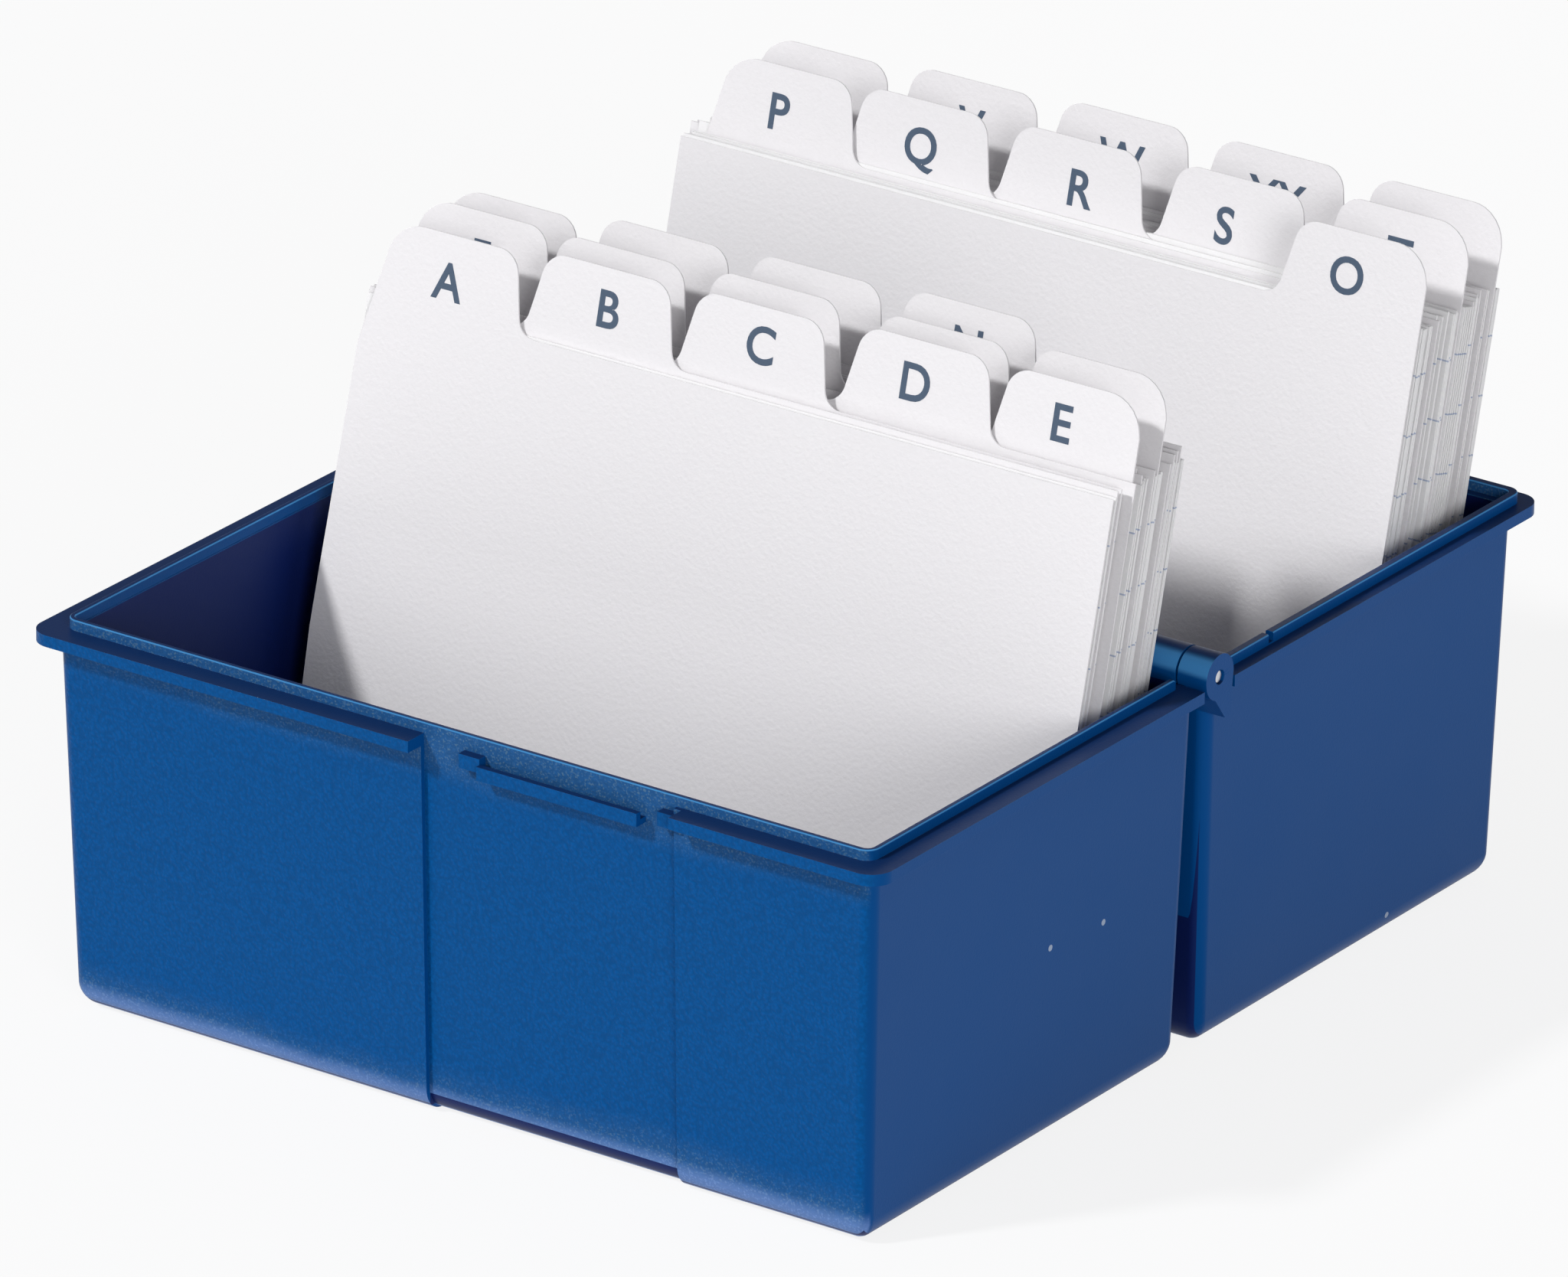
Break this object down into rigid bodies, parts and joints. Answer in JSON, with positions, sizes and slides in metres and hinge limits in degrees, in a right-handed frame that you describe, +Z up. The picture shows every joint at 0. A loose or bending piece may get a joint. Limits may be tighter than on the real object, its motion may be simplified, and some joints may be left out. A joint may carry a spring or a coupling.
{
  "type": "index card box",
  "caption": "Two-tray hinged index card box with a rim latch, opened flat, with tabbed alphabet guides and ruled cards standing in both trays.",
  "frame": {"origin": "on the table under the middle of the hinge, halfway between the two trays", "axes": "+Z up, +X to the right along the hinge pin, +Y from the front tray to the rear tray"},
  "size_m": [0.166, 0.19, 0.1149],
  "materials": {
    "tray_plastic": "satin moulded plastic, fine grain on the front walls",
    "pin_steel": "drawn steel rod",
    "guide_card": "smooth white card",
    "ruled_paper": "uncoated white card with blue rules"
  },
  "bodies": {
    "front_tray": {"front_tray": "tray_plastic", "hinge_pin": "pin_steel"},
    "rear_tray": {"rear_tray": "tray_plastic"},
    "cards_A": {"cards_A": "ruled_paper"},
    "guide_A": {"guide_A": "guide_card"},
    "cards_B": {"cards_B": "ruled_paper"},
    "guide_B": {"guide_B": "guide_card"},
    "cards_C": {"cards_C": "ruled_paper"},
    "guide_C": {"guide_C": "guide_card"},
    "cards_D": {"cards_D": "ruled_paper"},
    "guide_D": {"guide_D": "guide_card"},
    "cards_E": {"cards_E": "ruled_paper"},
    "guide_E": {"guide_E": "guide_card"},
    "cards_F": {"cards_F": "ruled_paper"},
    "guide_F": {"guide_F": "guide_card"},
    "cards_G": {"cards_G": "ruled_paper"},
    "guide_G": {"guide_G": "guide_card"},
    "cards_H": {"cards_H": "ruled_paper"},
    "guide_H": {"guide_H": "guide_card"},
    "cards_I": {"cards_I": "ruled_paper"},
    "guide_I": {"guide_I": "guide_card"},
    "cards_J": {"cards_J": "ruled_paper"},
    "guide_J": {"guide_J": "guide_card"},
    "cards_K": {"cards_K": "ruled_paper"},
    "guide_K": {"guide_K": "guide_card"},
    "cards_L": {"cards_L": "ruled_paper"},
    "guide_L": {"guide_L": "guide_card"},
    "cards_M": {"cards_M": "ruled_paper"},
    "guide_M": {"guide_M": "guide_card"},
    "cards_N": {"cards_N": "ruled_paper"},
    "guide_N": {"guide_N": "guide_card"},
    "cards_O": {"cards_O": "ruled_paper"},
    "guide_O": {"guide_O": "guide_card"},
    "cards_P": {"cards_P": "ruled_paper"},
    "guide_P": {"guide_P": "guide_card"},
    "cards_Q": {"cards_Q": "ruled_paper"},
    "guide_Q": {"guide_Q": "guide_card"},
    "cards_R": {"cards_R": "ruled_paper"},
    "guide_R": {"guide_R": "guide_card"},
    "cards_S": {"cards_S": "ruled_paper"},
    "guide_S": {"guide_S": "guide_card"},
    "cards_T": {"cards_T": "ruled_paper"},
    "guide_T": {"guide_T": "guide_card"},
    "cards_U": {"cards_U": "ruled_paper"},
    "guide_U": {"guide_U": "guide_card"},
    "cards_V": {"cards_V": "ruled_paper"},
    "guide_V": {"guide_V": "guide_card"},
    "cards_W": {"cards_W": "ruled_paper"},
    "guide_W": {"guide_W": "guide_card"},
    "cards_XY": {"cards_XY": "ruled_paper"},
    "guide_XY": {"guide_XY": "guide_card"},
    "cards_Z": {"cards_Z": "ruled_paper"},
    "guide_Z": {"guide_Z": "guide_card"}
  },
  "joints": [
    {"name": "lid_hinge", "type": "hinge", "parent": "front_tray", "child": "rear_tray", "pos_m": [0, 0, 0.06765], "axis": [-1, 0, 0], "range_deg": [-180, 0]},
    {"name": "cards_A_tilt", "type": "hinge", "parent": "front_tray", "child": "cards_A", "pos_m": [0, -0.04217, 0.0023], "axis": [-1, 0, 0], "range_deg": [-5.8, 0]},
    {"name": "guide_A_lift", "type": "slide", "parent": "cards_A", "child": "guide_A", "axis": [0, 0.2419, 0.9703], "range_m": [0, 0.1]},
    {"name": "cards_B_tilt", "type": "hinge", "parent": "front_tray", "child": "cards_B", "pos_m": [0, -0.041, 0.0023], "axis": [-1, 0, 0], "range_deg": [-5.8, 0]},
    {"name": "guide_B_lift", "type": "slide", "parent": "cards_B", "child": "guide_B", "axis": [0, 0.2419, 0.9703], "range_m": [0, 0.1]},
    {"name": "cards_C_tilt", "type": "hinge", "parent": "front_tray", "child": "cards_C", "pos_m": [0, -0.03982, 0.0023], "axis": [-1, 0, 0], "range_deg": [-5.8, 0]},
    {"name": "guide_C_lift", "type": "slide", "parent": "cards_C", "child": "guide_C", "axis": [0, 0.2419, 0.9703], "range_m": [0, 0.1]},
    {"name": "cards_D_tilt", "type": "hinge", "parent": "front_tray", "child": "cards_D", "pos_m": [0, -0.03865, 0.0023], "axis": [-1, 0, 0], "range_deg": [-5.8, 0]},
    {"name": "guide_D_lift", "type": "slide", "parent": "cards_D", "child": "guide_D", "axis": [0, 0.2419, 0.9703], "range_m": [0, 0.1]},
    {"name": "cards_E_tilt", "type": "hinge", "parent": "front_tray", "child": "cards_E", "pos_m": [0, -0.03748, 0.0023], "axis": [-1, 0, 0], "range_deg": [-5.8, 0]},
    {"name": "guide_E_lift", "type": "slide", "parent": "cards_E", "child": "guide_E", "axis": [0, 0.2419, 0.9703], "range_m": [0, 0.1]},
    {"name": "cards_F_tilt", "type": "hinge", "parent": "front_tray", "child": "cards_F", "pos_m": [0, -0.03429, 0.0023], "axis": [-1, 0, 0], "range_deg": [-5.8, 0]},
    {"name": "guide_F_lift", "type": "slide", "parent": "cards_F", "child": "guide_F", "axis": [0, 0.2419, 0.9703], "range_m": [0, 0.1]},
    {"name": "cards_G_tilt", "type": "hinge", "parent": "front_tray", "child": "cards_G", "pos_m": [0, -0.03311, 0.0023], "axis": [-1, 0, 0], "range_deg": [-5.8, 0]},
    {"name": "guide_G_lift", "type": "slide", "parent": "cards_G", "child": "guide_G", "axis": [0, 0.2419, 0.9703], "range_m": [0, 0.1]},
    {"name": "cards_H_tilt", "type": "hinge", "parent": "front_tray", "child": "cards_H", "pos_m": [0, -0.03194, 0.0023], "axis": [-1, 0, 0], "range_deg": [-5.8, 0]},
    {"name": "guide_H_lift", "type": "slide", "parent": "cards_H", "child": "guide_H", "axis": [0, 0.2419, 0.9703], "range_m": [0, 0.1]},
    {"name": "cards_I_tilt", "type": "hinge", "parent": "front_tray", "child": "cards_I", "pos_m": [0, -0.03077, 0.0023], "axis": [-1, 0, 0], "range_deg": [-5.8, 0]},
    {"name": "guide_I_lift", "type": "slide", "parent": "cards_I", "child": "guide_I", "axis": [0, 0.2419, 0.9703], "range_m": [0, 0.1]},
    {"name": "cards_J_tilt", "type": "hinge", "parent": "front_tray", "child": "cards_J", "pos_m": [0, -0.0296, 0.0023], "axis": [-1, 0, 0], "range_deg": [-5.8, 0]},
    {"name": "guide_J_lift", "type": "slide", "parent": "cards_J", "child": "guide_J", "axis": [0, 0.2419, 0.9703], "range_m": [0, 0.1]},
    {"name": "cards_K_tilt", "type": "hinge", "parent": "front_tray", "child": "cards_K", "pos_m": [0, -0.0263, 0.0023], "axis": [-1, 0, 0], "range_deg": [-5.8, 0]},
    {"name": "guide_K_lift", "type": "slide", "parent": "cards_K", "child": "guide_K", "axis": [0, 0.2419, 0.9703], "range_m": [0, 0.1]},
    {"name": "cards_L_tilt", "type": "hinge", "parent": "front_tray", "child": "cards_L", "pos_m": [0, -0.02513, 0.0023], "axis": [-1, 0, 0], "range_deg": [-5.8, 0]},
    {"name": "guide_L_lift", "type": "slide", "parent": "cards_L", "child": "guide_L", "axis": [0, 0.2419, 0.9703], "range_m": [0, 0.1]},
    {"name": "cards_M_tilt", "type": "hinge", "parent": "front_tray", "child": "cards_M", "pos_m": [0, -0.02396, 0.0023], "axis": [-1, 0, 0], "range_deg": [-5.8, 0]},
    {"name": "guide_M_lift", "type": "slide", "parent": "cards_M", "child": "guide_M", "axis": [0, 0.2419, 0.9703], "range_m": [0, 0.1]},
    {"name": "cards_N_tilt", "type": "hinge", "parent": "front_tray", "child": "cards_N", "pos_m": [0, -0.02278, 0.0023], "axis": [-1, 0, 0], "range_deg": [-5.8, 0]},
    {"name": "guide_N_lift", "type": "slide", "parent": "cards_N", "child": "guide_N", "axis": [0, 0.2419, 0.9703], "range_m": [0, 0.1]},
    {"name": "cards_O_tilt", "type": "hinge", "parent": "rear_tray", "child": "cards_O", "pos_m": [0, 0.04723, 0.0483], "axis": [-1, 0, 0], "range_deg": [-23.5, 0]},
    {"name": "guide_O_lift", "type": "slide", "parent": "cards_O", "child": "guide_O", "axis": [0, 0.2419, 0.9703], "range_m": [0, 0.1]},
    {"name": "cards_P_tilt", "type": "hinge", "parent": "rear_tray", "child": "cards_P", "pos_m": [0, 0.05498, 0.0483], "axis": [-1, 0, 0], "range_deg": [-23.5, 0]},
    {"name": "guide_P_lift", "type": "slide", "parent": "cards_P", "child": "guide_P", "axis": [0, 0.2419, 0.9703], "range_m": [0, 0.1]},
    {"name": "cards_Q_tilt", "type": "hinge", "parent": "rear_tray", "child": "cards_Q", "pos_m": [0, 0.05623, 0.0483], "axis": [-1, 0, 0], "range_deg": [-23.5, 0]},
    {"name": "guide_Q_lift", "type": "slide", "parent": "cards_Q", "child": "guide_Q", "axis": [0, 0.2419, 0.9703], "range_m": [0, 0.1]},
    {"name": "cards_R_tilt", "type": "hinge", "parent": "rear_tray", "child": "cards_R", "pos_m": [0, 0.05748, 0.0483], "axis": [-1, 0, 0], "range_deg": [-23.5, 0]},
    {"name": "guide_R_lift", "type": "slide", "parent": "cards_R", "child": "guide_R", "axis": [0, 0.2419, 0.9703], "range_m": [0, 0.1]},
    {"name": "cards_S_tilt", "type": "hinge", "parent": "rear_tray", "child": "cards_S", "pos_m": [0, 0.05873, 0.0483], "axis": [-1, 0, 0], "range_deg": [-23.5, 0]},
    {"name": "guide_S_lift", "type": "slide", "parent": "cards_S", "child": "guide_S", "axis": [0, 0.2419, 0.9703], "range_m": [0, 0.1]},
    {"name": "cards_T_tilt", "type": "hinge", "parent": "rear_tray", "child": "cards_T", "pos_m": [0, 0.06023, 0.0483], "axis": [-1, 0, 0], "range_deg": [-23.5, 0]},
    {"name": "guide_T_lift", "type": "slide", "parent": "cards_T", "child": "guide_T", "axis": [0, 0.2419, 0.9703], "range_m": [0, 0.1]},
    {"name": "cards_U_tilt", "type": "hinge", "parent": "rear_tray", "child": "cards_U", "pos_m": [0, 0.06398, 0.0483], "axis": [-1, 0, 0], "range_deg": [-23.5, 0]},
    {"name": "guide_U_lift", "type": "slide", "parent": "cards_U", "child": "guide_U", "axis": [0, 0.2419, 0.9703], "range_m": [0, 0.1]},
    {"name": "cards_V_tilt", "type": "hinge", "parent": "rear_tray", "child": "cards_V", "pos_m": [0, 0.06523, 0.0483], "axis": [-1, 0, 0], "range_deg": [-23.5, 0]},
    {"name": "guide_V_lift", "type": "slide", "parent": "cards_V", "child": "guide_V", "axis": [0, 0.2419, 0.9703], "range_m": [0, 0.1]},
    {"name": "cards_W_tilt", "type": "hinge", "parent": "rear_tray", "child": "cards_W", "pos_m": [0, 0.06648, 0.0483], "axis": [-1, 0, 0], "range_deg": [-23.5, 0]},
    {"name": "guide_W_lift", "type": "slide", "parent": "cards_W", "child": "guide_W", "axis": [0, 0.2419, 0.9703], "range_m": [0, 0.1]},
    {"name": "cards_XY_tilt", "type": "hinge", "parent": "rear_tray", "child": "cards_XY", "pos_m": [0, 0.06798, 0.0483], "axis": [-1, 0, 0], "range_deg": [-23.5, 0]},
    {"name": "guide_XY_lift", "type": "slide", "parent": "cards_XY", "child": "guide_XY", "axis": [0, 0.2419, 0.9703], "range_m": [0, 0.1]},
    {"name": "cards_Z_tilt", "type": "hinge", "parent": "rear_tray", "child": "cards_Z", "pos_m": [0, 0.06948, 0.0483], "axis": [-1, 0, 0], "range_deg": [-23.5, 0]},
    {"name": "guide_Z_lift", "type": "slide", "parent": "cards_Z", "child": "guide_Z", "axis": [0, 0.2419, 0.9703], "range_m": [0, 0.1]}
  ],
  "couplings": [
    {"joint": "cards_A_tilt", "follows": "lid_hinge", "ratio": 0.03221},
    {"joint": "cards_B_tilt", "follows": "lid_hinge", "ratio": 0.03221},
    {"joint": "cards_C_tilt", "follows": "lid_hinge", "ratio": 0.03221},
    {"joint": "cards_D_tilt", "follows": "lid_hinge", "ratio": 0.03221},
    {"joint": "cards_E_tilt", "follows": "lid_hinge", "ratio": 0.03221},
    {"joint": "cards_F_tilt", "follows": "lid_hinge", "ratio": 0.03221},
    {"joint": "cards_G_tilt", "follows": "lid_hinge", "ratio": 0.03221},
    {"joint": "cards_H_tilt", "follows": "lid_hinge", "ratio": 0.03221},
    {"joint": "cards_I_tilt", "follows": "lid_hinge", "ratio": 0.03221},
    {"joint": "cards_J_tilt", "follows": "lid_hinge", "ratio": 0.03221},
    {"joint": "cards_K_tilt", "follows": "lid_hinge", "ratio": 0.03221},
    {"joint": "cards_L_tilt", "follows": "lid_hinge", "ratio": 0.03221},
    {"joint": "cards_M_tilt", "follows": "lid_hinge", "ratio": 0.03221},
    {"joint": "cards_N_tilt", "follows": "lid_hinge", "ratio": 0.03221},
    {"joint": "cards_O_tilt", "follows": "lid_hinge", "ratio": 0.13055},
    {"joint": "cards_P_tilt", "follows": "lid_hinge", "ratio": 0.13055},
    {"joint": "cards_Q_tilt", "follows": "lid_hinge", "ratio": 0.13055},
    {"joint": "cards_R_tilt", "follows": "lid_hinge", "ratio": 0.13055},
    {"joint": "cards_S_tilt", "follows": "lid_hinge", "ratio": 0.13055},
    {"joint": "cards_T_tilt", "follows": "lid_hinge", "ratio": 0.13055},
    {"joint": "cards_U_tilt", "follows": "lid_hinge", "ratio": 0.13055},
    {"joint": "cards_V_tilt", "follows": "lid_hinge", "ratio": 0.13055},
    {"joint": "cards_W_tilt", "follows": "lid_hinge", "ratio": 0.13055},
    {"joint": "cards_XY_tilt", "follows": "lid_hinge", "ratio": 0.13055},
    {"joint": "cards_Z_tilt", "follows": "lid_hinge", "ratio": 0.13055}
  ]
}
